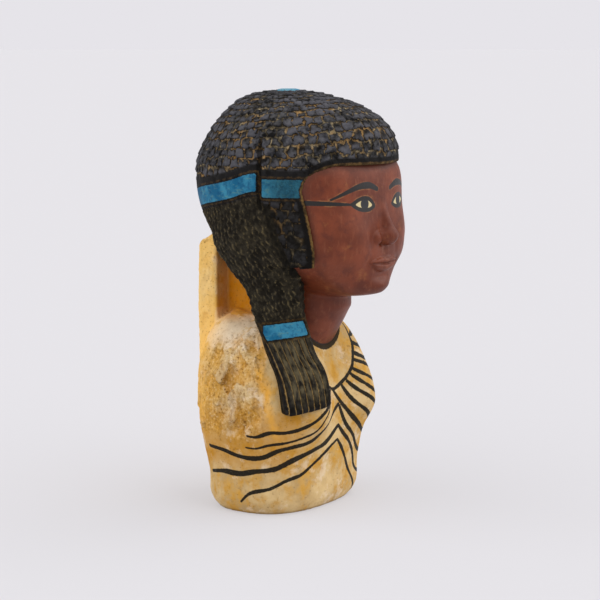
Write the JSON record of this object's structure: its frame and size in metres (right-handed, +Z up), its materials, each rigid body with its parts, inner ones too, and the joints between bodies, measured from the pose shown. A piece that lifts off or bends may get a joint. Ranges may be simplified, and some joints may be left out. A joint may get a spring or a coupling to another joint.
{
  "type": "painted plaster bust",
  "caption": "Small painted plaster bust of a woman in ancient Egyptian dress, with a wig of square locks, a plaited side lock and a back slab.",
  "frame": {"origin": "middle of the flat underside", "axes": "+Z up, the face looks along -Y, the figure's right side at -X"},
  "size_m": [0.0826, 0.096, 0.18],
  "materials": {
    "painted_plaster": "matte"
  },
  "bodies": {
    "root": {"bust": "painted_plaster"}
  },
  "joints": []
}
